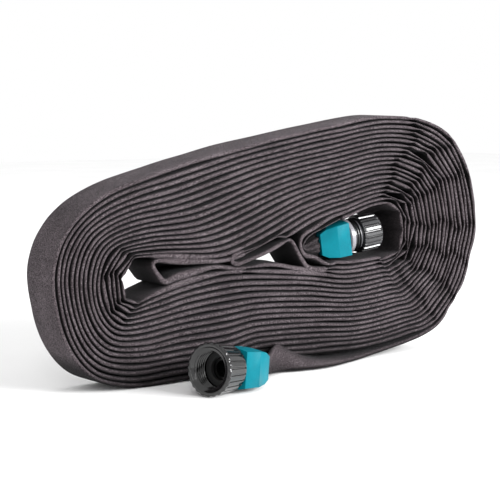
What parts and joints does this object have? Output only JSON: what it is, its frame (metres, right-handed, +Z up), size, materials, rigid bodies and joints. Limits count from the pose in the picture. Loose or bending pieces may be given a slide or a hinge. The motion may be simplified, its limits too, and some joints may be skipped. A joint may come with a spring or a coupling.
{
  "type": "soaker hose",
  "caption": "Flat fabric-jacketed soaker hose wound in an oblong roll, with a swivel-nut inlet coupling and a capped outlet coupling.",
  "frame": {"origin": "on the floor under the middle of the whole part's bounding box", "axes": "+X along the roll's length towards its fuller end, +Y across the flat width of the hose, away from the inlet coupling, +Z up"},
  "size_m": [0.396, 0.1093, 0.19],
  "materials": {
    "hose_fabric": "woven charcoal-brown polyester",
    "liner": "matte",
    "black_plastic": "satin gloss",
    "grey_plastic": "satin",
    "teal_plastic": "satin gloss",
    "washer_rubber": "matte"
  },
  "bodies": {
    "hose": {"hose_coil": "hose_fabric", "inlet_hose_tail": "hose_fabric", "outlet_hose_tail": "hose_fabric", "inlet_stem": "black_plastic", "inlet_liner_end": "liner", "inlet_jacket_end": "hose_fabric", "inlet_collar_left": "teal_plastic", "inlet_collar_right": "teal_plastic", "outlet_stem": "grey_plastic", "outlet_liner_end": "liner", "outlet_jacket_end": "hose_fabric", "outlet_collar_left": "teal_plastic", "outlet_collar_right": "teal_plastic"},
    "inlet_nut": {"inlet_swivel_nut": "black_plastic", "inlet_washer": "washer_rubber"},
    "cap_carrier": {"cap_washer": "washer_rubber"},
    "cap": {"end_cap": "black_plastic"}
  },
  "joints": [
    {"name": "inlet_nut_swivel", "type": "hinge", "parent": "hose", "child": "inlet_nut", "pos_m": [-0.0569, -0.02, 0.0134], "axis": [-0.9458, -0.3073, 0.1045], "continuous": true},
    {"name": "cap_travel", "type": "slide", "parent": "hose", "child": "cap_carrier", "axis": [0.9844, -0.1035, 0.1426], "range_m": [0, 0.0115]},
    {"name": "cap_turn", "type": "hinge", "parent": "cap_carrier", "child": "cap", "pos_m": [0.0406, 0.037, 0.0908], "axis": [0.9844, -0.1035, 0.1426], "range_deg": [0, 1860]}
  ],
  "couplings": [
    {"joint": "cap_travel", "follows": "cap_turn", "m_per_rad": 0.00035152}
  ]
}
